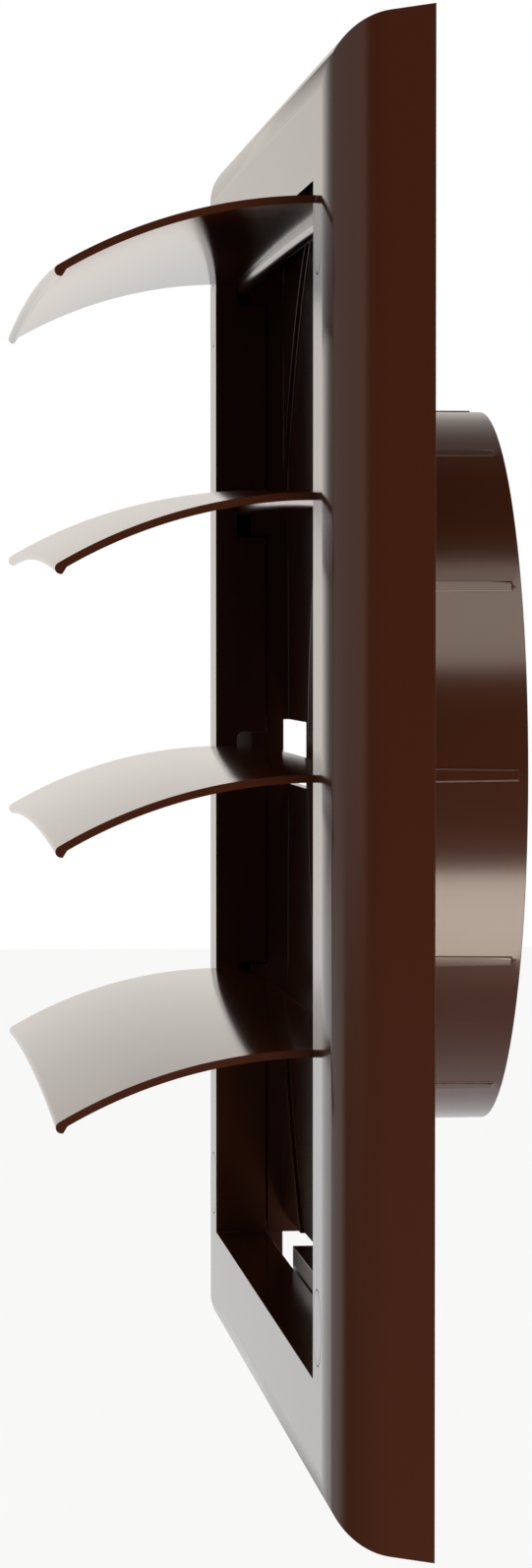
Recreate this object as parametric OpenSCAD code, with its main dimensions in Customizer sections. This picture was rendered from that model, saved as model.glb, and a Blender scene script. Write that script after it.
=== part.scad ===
// Louvred exhaust vent with a round duct spigot, in millimetres.
// The origin is on the spigot's axis, in the plane of the wall. +Z is up and the face looks along -Y.

/* [Front frame] */
// Width and height of the frame at its back edge
frame_w = 190; // [175:1:230]
// Depth of the frame from the wall to its face
frame_d = 13; // [12.5:0.5:16]
// Wall thickness of the frame
frame_t = 2; // [1.5:0.1:2.4]
// Draft of the four outer sides, in degrees
side_draft = 8; // [5:0.5:10]
// Radius of the rounded edge between the sides and the face
edge_r = 8.8; // [6:0.1:9.5]
// Width of the border between the frame's back edge and the opening
border_w = 19.8; // [18.5:0.1:22]
// Depth of the lining round the opening, from the face
lining_d = 7.8; // [7.2:0.1:8.4]
// Wall thickness of the lining
lining_t = 1.8; // [1.4:0.1:2.2]

/* [Flap bearings] */
// Depth of the flap pins' axis behind the face
pin_depth = 4.4; // [4:0.1:4.8]
// Drop from the opening's top edge to the middle of the first bearing slot
first_slot_drop = 3; // [3:0.1:4]
// Room left below the shut flaps
tip_room = 3.4; // [3.2:0.1:5]
// Height of a bearing slot, in which a pin can float
slot_h = 5.8; // [5.2:0.1:5.8]
// Radius of the slot's front corners
slot_corner_r = 1; // [0.5:0.1:1.5]
// Running clearance in front of and behind a pin
pin_gap = 0.1; // [0.05:0.05:0.3]

/* [Flaps] */
// How far an open flap reaches out beyond the distance to the next flap's pins
flap_lap = 0.7; // [0.2:0.1:0.8]
// Radius of the curved upper face of a blade
blade_r = 64.5; // [62:0.5:75]
// Thickness of a blade
blade_t = 1; // [0.8:0.1:1.1]
// Straight stretch of a blade in front of the pins' axis
blade_root = 3.6; // [3:0.1:5]
// How far a blade is crowned upwards between its two ends
blade_crown = 1.1; // [0.6:0.1:1.2]
// Radius of the thickened lip along the tip
lip_r = 0.75; // [0.6:0.05:0.8]
// Radius of the round hinge barrel along the root
barrel_r = 1.3; // [1.1:0.1:1.4]
// Radius of the pins at the ends of the barrel
pin_r = 1; // [0.8:0.05:1.05]
// Gap between the end of a blade and the lining
flap_side_gap = 1.1; // [1:0.1:1.4]
// Gap between the end of a pin and the outside of the lining
pin_end_gap = 0.4; // [0.2:0.1:0.6]

/* [Screw covers] */
// Diameter of a screw cover
cover_d = 9.4; // [8.6:0.1:9.6]
// Thickness of a screw cover's disc
cover_t = 1.5; // [1.2:0.1:2]
// Gap round a screw cover
cover_gap = 0.15; // [0.1:0.05:0.25]
// Length of the ring that holds a cover in its recess
cover_ring_h = 1.5; // [1:0.1:2]
// Wall of that ring
cover_ring_t = 0.9; // [0.7:0.1:1.2]
// Drop from the opening's top edge to the middle of the upper covers
cover_drop = 7.2; // [7:0.1:12]
// Diameter of the screw holes
screw_hole_d = 4; // [3.5:0.1:4.5]
// Diameter of the recess for a screw head
head_hole_d = 7.2; // [6.8:0.1:7.6]
// Depth of the recess for a screw head, behind the cover
head_hole_h = 4; // [3.5:0.1:5]
// Wall round a cover's recess
boss_wall = 1.2; // [1:0.1:1.5]

/* [Base plate] */
// Thickness of the base plate at its corners
plate_t = 2.4; // [2.2:0.1:2.8]
// Gap between the base plate and the frame round it
plate_gap = 0.4; // [0.3:0.1:0.8]
// Border of the plate outside the round dish in its front
dish_border = 5.2; // [4:0.1:10]
// Depth of the dish at its edge
dish_step = 0.7; // [0.5:0.1:0.8]
// How much deeper the dish is at the duct
dish_fall = 0.4; // [0.2:0.1:0.5]
// Wall of the rails that stand behind the bearing slots
rail_t = 1.5; // [1.2:0.1:2]
// Step from the lining's inner face back to the rail
rail_step = 0.3; // [0.2:0.1:0.5]
// Gap between the rails, their fingers and the lining
rail_gap = 0.25; // [0.2:0.05:0.4]
// Height of the windows at middle height
window_h = 10; // [6:0.5:12]
// Height of the drain windows in the lower corners
drain_h = 7.5; // [5:0.5:8]
// Rise of the drain windows inside the rails
drain_rise = 3; // [1:0.5:4]
// Depth of the notches in the frame's back edge beside the windows
notch_d = 0.9; // [0.5:0.1:1.5]
// Width of the sill block behind the opening's bottom edge
sill_w = 68; // [50:1:80]
// Height of the sill block above that edge
sill_h = 3; // [2:0.1:3.5]

/* [Duct spigot] */
// Outer diameter of the spigot
spigot_d = 99.3; // [90:0.1:101]
// Length of the spigot behind the wall plane
spigot_l = 18; // [14:0.5:30]
// Wall thickness of the spigot
spigot_t = 2; // [1.6:0.1:2.5]
// Flare of the spigot's mouth in the base plate
mouth_flare = 1; // [0.5:0.1:1.2]
// Width of a grip rib at the base plate
rib_w = 1.8; // [1.2:0.1:2.4]
// Width of a grip rib at its far end
rib_end_w = 1.35; // [1:0.05:2]
// Height of a grip rib above the spigot
rib_h = 0.2; // [0.1:0.05:0.2]
// Distance from the ribs' far end to the spigot's rim
rib_end_gap = 1.3; // [1:0.1:3]

/* [Hidden] */
$fn = 96;
// Cuts run this far past the face that they open
past = 1;
flap_count = 4;
rib_count = 12;
edge_steps = 18;
// A flap hangs loosely: the height of each one over its slots' middle, and its lean in degrees
flap_lift = [0, 0.3, -0.6, 0.8];
flap_lean = [0, 1.1, 0, 0];

half_w = frame_w / 2;
half_open = half_w - border_w;
face_y = -frame_d;
// Middle of the rounded edge, where the flat face ends
edge_u = half_w - (edge_r + (frame_d - edge_r) * sin(side_draft)) / cos(side_draft);
lining_y = face_y + lining_d;
lining_out = half_open + lining_t;

pin_y = face_y + pin_depth;
slot_y = pin_y - pin_r - pin_gap;
keeper_y = pin_y + pin_r + pin_gap;

cover_x = (half_open + edge_u) / 2;
cover_z = half_open - cover_drop;
cover_y = face_y + cover_t;
recess_r = cover_d / 2 + cover_gap;
boss_r = recess_r + boss_wall;

plate_y = -plate_t;
plate_half = half_w - frame_t / cos(side_draft) - plate_t * tan(side_draft) - plate_gap;
dish_y = plate_y + dish_step;
dish_r = plate_half - dish_border;
rail_in = half_open + rail_step;
rail_y = lining_y + rail_gap;
spigot_r = spigot_d / 2;
bore_r = spigot_r - spigot_t;

flap_pitch = (2 * half_open - first_slot_drop - tip_room) / flap_count;
flap_reach = flap_pitch + flap_lap;
blade_half = half_open - flap_side_gap;
tip_angle = asin((flap_reach - blade_root - lip_r) / (blade_r - lip_r));
// The crown is an arc through the two ends and the middle of the blade
crown_r = (blade_half * blade_half + blade_crown * blade_crown) / (2 * blade_crown);
crown_angle = 2 * asin(blade_half / crown_r);

frame_brown = [0.25, 0.13, 0.08];
base_brown = [0.20, 0.11, 0.07];
flap_brown = [0.30, 0.17, 0.11];
cover_brown = [0.34, 0.20, 0.13];

function slot_z(i) = half_open - first_slot_drop - i * flap_pitch;

// A round bar along +Y from y0 to y1, or a cone if r_end is given
module y_bar(r, y0, y1, r_end = undef) {
    translate([0, y0, 0]) rotate([-90, 0, 0])
        cylinder(h = y1 - y0, r1 = r, r2 = is_undef(r_end) ? r : r_end);
}

// A square block round the duct's axis, from y0 to y1
module y_block(half, y0, y1) {
    translate([-half, y0, -half]) cube([2 * half, y1 - y0, 2 * half]);
}

// Its children at the four screws
module at_screws() {
    for (sx = [-1, 1], sz = [-1, 1]) translate([sx * cover_x, 0, sz * cover_z]) children();
}

// One side of the frame's outline, set in by wall: drafted side, round edge and half the flat face
function frame_side(wall) = [
    [half_w - wall / cos(side_draft) + past * tan(side_draft), past],
    for (a = [side_draft : (90 - side_draft) / edge_steps : 90.01])
        [edge_u, face_y + edge_r] + (edge_r - wall) * [cos(a), -sin(a)]];

// The whole cross-section, symmetric about the middle
module frame_section(wall) {
    half = frame_side(wall);
    last = len(half) - 1;
    polygon(concat(half, [for (i = [0:last]) [-half[last - i][0], half[last - i][1]]]));
}

// Two crossed bars of that section meet in mitred corners
module frame_outline(wall) {
    intersection_for (turn = [0, 90])
        rotate([0, turn, 0]) linear_extrude(frame_w + 4 * past, center = true) frame_section(wall);
}

// One bearing slot through both side linings, open to the back
module bearing_slot(i) {
    straight = slot_h - 2 * slot_corner_r;
    translate([-lining_out, 0, slot_z(i)]) rotate([90, 0, 90]) linear_extrude(2 * lining_out) {
        translate([slot_y + slot_corner_r, -slot_h / 2]) square([lining_d, slot_h]);
        translate([slot_y, -straight / 2]) square([lining_d, straight]);
        for (s = [-1, 1]) translate([slot_y + slot_corner_r, s * straight / 2]) circle(slot_corner_r);
    }
}

// Openings beside the duct and in the lower corners, for side s, from y0 through the back
module side_windows(s, y0) {
    duct_side = spigot_r + past;
    drain_top = -half_open;
    mirror([s < 0 ? 1 : 0, 0, 0]) {
        translate([duct_side, y0, -window_h / 2]) cube([half_w - duct_side + past, past - y0, window_h]);
        translate([sill_w / 2, y0, drain_top - drain_h])
            cube([half_w - sill_w / 2 + past, past - y0, drain_h]);
        translate([sill_w / 2, y0, drain_top - past])
            cube([rail_in - sill_w / 2, past - y0, drain_rise + past]);
    }
}

module front_frame() {
    color(frame_brown) difference() {
        frame_outline(0);
        y_block(frame_w, 0, 2 * past);
        difference() {
            frame_outline(frame_t);
            y_block(lining_out, face_y, lining_y);
            at_screws() y_bar(boss_r, face_y, plate_y);
        }
        y_block(half_open, face_y - past, past);
        y_block(rail_in + rail_t + rail_gap, lining_y, past);
        for (i = [0:flap_count - 1]) bearing_slot(i);
        at_screws() {
            y_bar(recess_r, face_y - past, cover_y);
            y_bar(head_hole_d / 2, face_y, cover_y + head_hole_h);
            y_bar(screw_hole_d / 2, face_y, past);
        }
        side_windows(-1, -notch_d);
    }
}

// The plate itself, with a round dish in its front that falls towards the duct
module dished_plate() {
    difference() {
        y_block(plate_half, plate_y, 0);
        y_bar(dish_r, plate_y - past, dish_y);
        y_bar(dish_r, dish_y, dish_y + dish_fall, bore_r);
    }
}

// A rail behind the bearing slots of one side, with a finger into each slot that keeps its pin in
module pin_rail() {
    translate([rail_in, rail_y, -half_open]) cube([rail_t, -rail_y, 2 * half_open]);
    finger_h = slot_h - 2 * rail_gap;
    for (i = [0:flap_count - 1]) translate([rail_in, keeper_y, slot_z(i) - finger_h / 2])
        cube([lining_out - rail_gap - rail_in, rail_y - keeper_y + rail_t, finger_h]);
}

module sill_block() {
    foot_z = -half_open - rail_t;
    translate([-sill_w / 2, rail_y, foot_z]) cube([sill_w, -rail_y, sill_h - half_open - foot_z]);
}

// Low tapered ribs along the spigot, which grip the duct
module grip_ribs() {
    length = spigot_l - rib_end_gap;
    intersection() {
        y_bar(spigot_r + rib_h, 0, length);
        for (i = [0:rib_count - 1]) rotate([0, i * 360 / rib_count, 0])
            translate([0, 0, bore_r + spigot_t / 2]) linear_extrude(spigot_t)
                polygon([[-rib_w / 2, 0], [rib_w / 2, 0], [rib_end_w / 2, length], [-rib_end_w / 2, length]]);
    }
}

module base_plate() {
    color(base_brown) difference() {
        union() {
            dished_plate();
            for (s = [0, 1]) mirror([s, 0, 0]) pin_rail();
            sill_block();
            y_bar(spigot_r, -plate_t / 2, spigot_l);
            grip_ribs();
        }
        y_bar(bore_r, plate_y - past, spigot_l + past);
        y_bar(bore_r + mouth_flare + dish_fall, dish_y, dish_y + mouth_flare + dish_fall, bore_r);
        at_screws() y_bar(screw_hole_d / 2, plate_y - past, past);
        for (s = [-1, 1]) side_windows(s, plate_y);
    }
}

// Section of a flap, height along X and reach along Y: barrel, straight root, arc and lip
module flap_section() {
    $fn = 240;
    lip_at = blade_r - lip_r;
    circle(barrel_r);
    translate([barrel_r - blade_t, 0]) square([blade_t, blade_root]);
    translate([barrel_r - blade_r, blade_root]) {
        intersection() {
            difference() {
                circle(blade_r);
                circle(blade_r - blade_t);
            }
            polygon([[0, 0], [2 * blade_r, 0], [2 * blade_r, 2 * blade_r * tan(tip_angle)]]);
        }
        translate(lip_at * [cos(tip_angle), sin(tip_angle)]) circle(lip_r);
    }
}

// A flap in its open place, crowned along its length, with a pin at each end of its barrel
module flap(i) {
    pin_end = lining_out - pin_end_gap;
    pin_foot = blade_half - 2 * pin_r;
    color(flap_brown) translate([0, pin_y, slot_z(i) + flap_lift[i]]) rotate([0, flap_lean[i], 0]) {
        translate([0, 0, blade_crown - crown_r]) rotate([90, 0, 0]) rotate(90 - crown_angle / 2)
            rotate_extrude(angle = crown_angle, $fn = round(24 * 360 / crown_angle))
                translate([crown_r, 0]) flap_section();
        for (s = [-1, 1]) translate([s * (pin_foot + pin_end) / 2, 0, 0]) rotate([0, 90, 0])
            cylinder(h = pin_end - pin_foot, r = pin_r, center = true);
    }
}

// A flush disc with a ring behind it that holds it in the frame
module screw_cover(sx, sz) {
    ring_r = head_hole_d / 2 - cover_gap;
    color(cover_brown) translate([sx * cover_x, 0, sz * cover_z]) {
        y_bar(cover_d / 2, face_y, cover_y);
        difference() {
            y_bar(ring_r, cover_y - cover_t / 2, cover_y + cover_ring_h);
            y_bar(ring_r - cover_ring_t, cover_y, cover_y + cover_ring_h + past);
        }
    }
}

front_frame();
base_plate();
flap(0);  // flap_1
flap(1);  // flap_2
flap(2);  // flap_3
flap(3);  // flap_4
screw_cover(-1, 1);  // screw_cover_1
screw_cover(1, 1);  // screw_cover_2
screw_cover(-1, -1);  // screw_cover_3
screw_cover(1, -1);  // screw_cover_4
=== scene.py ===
"""Looks of a louvred exhaust vent in dark brown gloss plastic, seen almost edge on.

Lengths are in metres in the part's own frame: X across the face, +Y into the wall, Z up.
Sizes that the looks share with the solids are written in millimetres and multiplied by MM.
"""

import math

import bmesh
import bpy
import numpy as np
from mathutils import Matrix, Vector


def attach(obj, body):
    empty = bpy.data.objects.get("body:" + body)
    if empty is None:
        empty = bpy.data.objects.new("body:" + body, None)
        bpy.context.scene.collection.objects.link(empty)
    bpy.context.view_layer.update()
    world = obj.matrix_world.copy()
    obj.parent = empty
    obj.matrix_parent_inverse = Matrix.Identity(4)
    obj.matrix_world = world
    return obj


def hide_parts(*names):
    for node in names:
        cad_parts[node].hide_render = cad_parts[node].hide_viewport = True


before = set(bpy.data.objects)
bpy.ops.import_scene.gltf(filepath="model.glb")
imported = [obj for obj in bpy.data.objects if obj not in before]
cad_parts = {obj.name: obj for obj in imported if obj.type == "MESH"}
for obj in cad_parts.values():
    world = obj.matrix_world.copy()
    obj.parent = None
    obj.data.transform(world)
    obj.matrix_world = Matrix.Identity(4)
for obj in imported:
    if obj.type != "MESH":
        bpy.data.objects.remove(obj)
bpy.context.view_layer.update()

MM = 0.001


# ---------------------------------------------------------------- camera
def aim_camera():
    """A camera at the photograph's place: it stands off the vent's right-hand side, a little in front
    of the face and a little above the middle, and looks back 5.2 degrees towards the wall."""
    yaw, pitch = 0.0911, 0.0323
    forward = Vector((-math.cos(yaw) * math.cos(pitch), math.sin(yaw) * math.cos(pitch), -math.sin(pitch)))
    right = Vector((math.sin(yaw), math.cos(yaw), 0))
    up = right.cross(forward)
    turn = Matrix((right, up, -forward)).transposed()
    data = bpy.data.cameras.new("camera")
    data.lens = 112.865
    data.sensor_width = 36
    data.clip_start = 0.01
    camera = bpy.data.objects.new("camera", data)
    camera.matrix_world = Matrix.Translation(Vector((688.32, -74.93, 19.69)) * MM) @ turn.to_4x4()
    bpy.context.scene.collection.objects.link(camera)
    bpy.context.scene.camera = camera


# ---------------------------------------------------------------- materials
def linear(hex_colour):
    """sRGB hex to linear RGBA: the low values divided by 12.92, the others by the 2.4 power curve."""
    srgb = np.array([int(hex_colour[i:i + 2], 16) for i in (1, 3, 5)]) / 255
    rgb = np.where(srgb <= 0.04045, srgb / 12.92, ((srgb + 0.055) / 1.055) ** 2.4)
    return (*rgb.tolist(), 1.0)


def add(tree, kind, settings=None, **links):
    """Adds a node. settings are its properties or, by name or number, its input values. Each link is
    input=(node, output), where the input is a name with spaces as underscores, or i and its number."""
    node = tree.nodes.new(kind)
    for key, value in (settings or {}).items():
        if isinstance(key, int) or key in node.inputs:
            node.inputs[key].default_value = value
        else:
            setattr(node, key, value)
    for key, (source, output) in links.items():
        socket = node.inputs[int(key[1:])] if key[0] == "i" and key[1:].isdigit() else node.inputs[key.replace("_", " ")]
        tree.links.new(source.outputs[output], socket)
    return node


def brown_abs(name, hex_colour, roughness=0.16, turned=False):
    """Injection-moulded ABS, dark brown, from a polished tool."""
    material = bpy.data.materials.new(name)
    material.use_nodes = True
    tree = material.node_tree
    surface = tree.nodes["Principled BSDF"]
    surface.inputs["Base Color"].default_value = linear(hex_colour)
    surface.inputs["Roughness"].default_value = roughness
    surface.inputs["IOR"].default_value = 1.53
    place = add(tree, "ShaderNodeTexCoord")
    flow = add(tree, "ShaderNodeTexNoise", {"Scale": 60.0, "Detail": 2.0}, Vector=(place, "Object"))
    bump = add(tree, "ShaderNodeBump", {"Strength": 0.04, "Distance": 0.0005}, Height=(flow, 0))
    tree.links.new(bump.outputs[0], surface.inputs["Normal"])
    return material


# ---------------------------------------------------------------- shapes
def piece(name, points, faces, material, body, node):
    mesh = bpy.data.meshes.new(name)
    mesh.from_pydata(points.reshape(-1, 3).tolist(), [], faces)
    mesh.validate()
    obj = bpy.data.objects.new(name, mesh)
    bpy.context.scene.collection.objects.link(obj)
    mesh.materials.append(material)
    mesh.shade_smooth()
    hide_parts(node)
    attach(obj, body)
    return obj


def tube(rings, first=0):
    """Faces of a closed tube through rings (count, around): quads between them and a flat face on each end."""
    count, around = rings
    index = first + np.arange(count * around).reshape(count, around)
    turned = np.roll(index, -1, axis=1)
    quads = np.stack([index[:-1], turned[:-1], turned[1:], index[1:]], axis=-1).reshape(-1, 4)
    return quads.tolist() + [index[0][::-1].tolist(), index[-1].tolist()]


def flap_section():
    """Closed outline of a flap, out from its pins' axis and up, in mm: the barrel's circle, a straight
    root, an upper arc of radius 64.5 with the lower one 1 mm under it, and a round lip at the tip."""
    barrel, blade, root, arc, lip, reach = 1.3, 1.0, 3.6, 64.5, 0.75, 36.7
    tip = math.asin((reach - root - lip) / (arc - lip))
    a = np.linspace(0, tip, 48)
    upper = np.stack([root + arc * np.sin(a), barrel - arc + arc * np.cos(a)], 1)
    b = np.linspace(tip, tip + math.pi, 14)[1:-1]
    middle = np.array([root + (arc - lip) * math.sin(tip), barrel - arc + (arc - lip) * math.cos(tip)])
    round_lip = middle + lip * np.stack([np.sin(b), np.cos(b)], 1)
    inner = arc - blade
    c = np.linspace(tip, 0, 48)[1:]
    lower = np.stack([root + inner * np.sin(c), barrel - arc + inner * np.cos(c)], 1)
    d = np.linspace(math.acos((barrel - blade) / barrel), 2 * math.pi, 30)
    round_barrel = barrel * np.stack([np.sin(d), np.cos(d)], 1)
    return np.concatenate([upper, round_lip, lower, round_barrel])


def flap(number, height, lean, material):
    """A flap's section carried along X and lifted towards the middle by 0.75 mm (1 - s^2) at the root
    and 1.35 mm at the tip, then leaned about Y. A pin stands out of each end of the barrel."""
    s = np.linspace(-1, 1, 49)
    out, up = flap_section().T
    crown = 0.75 + 0.6 * np.clip(out / 36.7, 0, 1)
    x = np.repeat(s[:, None] * 74.1, len(out), 1)
    y = np.broadcast_to(-out, x.shape)
    z = up + (1 - s[:, None] ** 2) * crown
    blade = np.stack([x, y, z], -1)
    faces = tube(x.shape)
    points = [blade.reshape(-1, 3)]
    a = np.linspace(0, 2 * math.pi, 33)[:-1]
    for side in (-1, 1):
        ring = np.stack([0 * a, np.cos(a), np.sin(a)], 1)
        pin = ring[None] + side * np.array([72.0, 76.6])[::side, None, None] * [1, 0, 0]
        faces += tube((2, 32), sum(len(p) for p in points))
        points.append(pin.reshape(-1, 3))
    points = np.concatenate(points)
    c, n = math.cos(math.radians(lean)), math.sin(math.radians(lean))
    points = np.stack([c * points[:, 0] + n * points[:, 2], points[:, 1], c * points[:, 2] - n * points[:, 0]], 1)
    points += [0, -8.6, height]
    obj = piece(f"louvre_flap_{number}", points * MM, faces, material, f"flap_{number}", f"flap_{number}")
    obj.data.set_sharp_from_angle(angle=math.radians(50))
    return obj


def soft_copy(node, name, material):
    """A copy of a node's solid with its loose triangles merged, its flat faces whole, and its sharp edges
    rounded by a fifth of a millimetre."""
    mesh = bpy.data.meshes.new(name)
    work = bmesh.new()
    work.from_mesh(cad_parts[node].data)
    bmesh.ops.remove_doubles(work, verts=work.verts, dist=2e-6)
    bmesh.ops.dissolve_limit(work, angle_limit=math.radians(0.5), verts=work.verts, edges=work.edges)
    work.to_mesh(mesh)
    work.free()
    obj = bpy.data.objects.new(name, mesh)
    bpy.context.scene.collection.objects.link(obj)
    mesh.materials.clear()
    mesh.materials.append(material)
    mesh.shade_smooth()
    bevel = obj.modifiers.new("soft edges", "BEVEL")
    bevel.width = 0.15 * MM
    bevel.segments = 2
    bevel.limit_method = "ANGLE"
    bevel.angle_limit = math.radians(35)
    normals = obj.modifiers.new("flat faces stay flat", "WEIGHTED_NORMAL")
    normals.keep_sharp = True
    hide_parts(node)
    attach(obj, "housing")
    return obj


# ---------------------------------------------------------------- studio
def ramp(tree, source, stops, interpolation="LINEAR"):
    """A curve from 0..1 to grey levels through the given (place, level) stops."""
    node = add(tree, "ShaderNodeValToRGB", i0=source)
    node.color_ramp.interpolation = interpolation
    points = node.color_ramp.elements
    while len(points) < len(stops):
        points.new(0.5)
    for point, (place, level) in zip(points, stops):
        point.position = place
        point.color = (level, level, level, 1)
    return node


def studio():
    """White paper behind the object that fades out overhead, a dim panel on the face's side, two softboxes
    on the camera's side above and below it, and nothing bright round the camera itself."""
    scene = bpy.context.scene
    scene.view_settings.view_transform = "Standard"
    world = bpy.data.worlds.new("white studio")
    scene.world = world
    world.use_nodes = True
    tree = world.node_tree
    tree.nodes.clear()
    rays = add(tree, "ShaderNodeLightPath")
    place = add(tree, "ShaderNodeTexCoord")
    axes = add(tree, "ShaderNodeSeparateXYZ", i0=(place, "Generated"))
    bearing = add(tree, "ShaderNodeMath", {"operation": "ARCTAN2"}, i0=(axes, "Y"), i1=(axes, "X"))
    bearing = add(tree, "ShaderNodeMapRange", {1: -math.pi, 2: math.pi}, i0=(bearing, 0))
    around = ramp(tree, (bearing, 0), [(deg / 360 + 0.5, level) for deg, level in (
        (-180, 1), (-162, 1), (-150, 0.25), (-125, 0.3), (-112, 0.6), (-55, 0.62), (-44, 0.02), (20, 0.02),
        (60, 0.3), (120, 0.3), (150, 0.6), (162, 1), (180, 1))])
    rise = add(tree, "ShaderNodeMath", {"operation": "ARCSINE"}, i0=(axes, "Z"))
    rise = add(tree, "ShaderNodeMapRange", {1: -math.pi / 2, 2: math.pi / 2}, i0=(rise, 0))
    over = ramp(tree, (rise, 0), [(deg / 180 + 0.5, level) for deg, level in (
        (-72, 0.02), (-54, 0.5), (-38, 1), (0, 1), (17, 0.88), (33, 0.6), (49, 0.26), (66, 0.02))])
    paper = add(tree, "ShaderNodeMath", {"operation": "MULTIPLY"}, i0=(around, 0), i1=(over, 0))
    fill = add(tree, "ShaderNodeMix", {"data_type": "FLOAT", 2: FILL}, Factor=(rays, "Is Glossy Ray"), i3=(paper, 0))
    level = add(tree, "ShaderNodeMix", {"data_type": "FLOAT", 3: 1.0}, Factor=(rays, "Is Camera Ray"), i2=(fill, 0))
    tint = add(tree, "ShaderNodeMix", {"data_type": "RGBA", 6: (1, 0.94, 0.885, 1), 7: (1, 1, 1, 1)}, Factor=(rays, "Is Camera Ray"))
    back = add(tree, "ShaderNodeBackground", Color=(tint, 2), Strength=(level, 0))
    add(tree, "ShaderNodeOutputWorld", Surface=(back, 0))

    floor = bpy.data.materials.new("white floor paint")
    floor.use_nodes = True
    tree = floor.node_tree
    tree.nodes.clear()
    rays = add(tree, "ShaderNodeLightPath")
    paint = add(tree, "ShaderNodeBsdfDiffuse", {"Color": (0.9, 0.9, 0.9, 1)})
    place = add(tree, "ShaderNodeTexCoord")
    axes = add(tree, "ShaderNodeSeparateXYZ", i0=(place, "Object"))
    lit = add(tree, "ShaderNodeMapRange", {"From Min": -0.6, "From Max": 0.3, "To Min": 1.0, "To Max": 0.05}, Value=(axes, "X"))
    shown = add(tree, "ShaderNodeMix", {"data_type": "FLOAT", 3: 1.0}, Factor=(rays, "Is Camera Ray"), i2=(lit, 0))
    glow = add(tree, "ShaderNodeEmission", {"Color": (1, 1, 1, 1)}, Strength=(shown, 0))
    seen = add(tree, "ShaderNodeMath", {"operation": "MAXIMUM"}, i0=(rays, "Is Camera Ray"), i1=(rays, "Is Glossy Ray"))
    share = add(tree, "ShaderNodeMath", {"operation": "MULTIPLY", 1: 0.9}, i0=(seen, 0))
    mix = add(tree, "ShaderNodeMixShader", i0=(share, 0), i1=(paint, 0), i2=(glow, 0))
    add(tree, "ShaderNodeOutputMaterial", Surface=(mix, 0))
    mesh = bpy.data.meshes.new("floor")
    mesh.from_pydata([(-9, -9, -0.62), (9, -9, -0.62), (9, 9, -0.62), (-9, 9, -0.62)], [], [(0, 1, 2, 3)])
    mesh.materials.append(floor)
    ground = bpy.data.objects.new("floor", mesh)
    scene.collection.objects.link(ground)

    for name, bearing, rise, far, size, glow in (("high softbox", 12, 48, 0.8, 0.48, 3.6),
                                                 ("low softbox", 12, -46, 0.7, 0.36, 9.5)):
        lamp = bpy.data.lights.new(name, "AREA")
        lamp.size = size
        lamp.energy = glow * math.pi * size * size
        lamp.color = (1, 0.87, 0.74)
        lamp_obj = bpy.data.objects.new(name, lamp)
        b, e = math.radians(bearing), math.radians(rise)
        spot = far * Vector((math.cos(b) * math.cos(e), math.sin(b) * math.cos(e), math.sin(e)))
        lamp_obj.location = spot
        lamp_obj.rotation_euler = (-spot).to_track_quat("-Z", "Y").to_euler()
        lamp_obj.visible_camera = False
        scene.collection.objects.link(lamp_obj)


FILL = 0.45
aim_camera()
studio()

frame_abs = brown_abs("brown gloss ABS, moulded frame", "#3c1d0f")
base_abs = brown_abs("brown gloss ABS, moulded base", "#3c1d0f", 0.2, turned=True)
flap_abs = brown_abs("brown gloss ABS, moulded flaps", "#3c1d0f", 0.12)

soft_copy("front_frame", "frame_shell", frame_abs)
soft_copy("base_plate", "duct_base", base_abs)
for n, (height, lean) in enumerate(((72.2, 0), (36.5, 1.1), (-0.4, 0), (-35.0, 0)), 1):
    flap(n, height, lean, flap_abs)
for n in range(1, 5):
    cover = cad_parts[f"screw_cover_{n}"]
    cover.data.materials.clear()
    cover.data.materials.append(frame_abs)
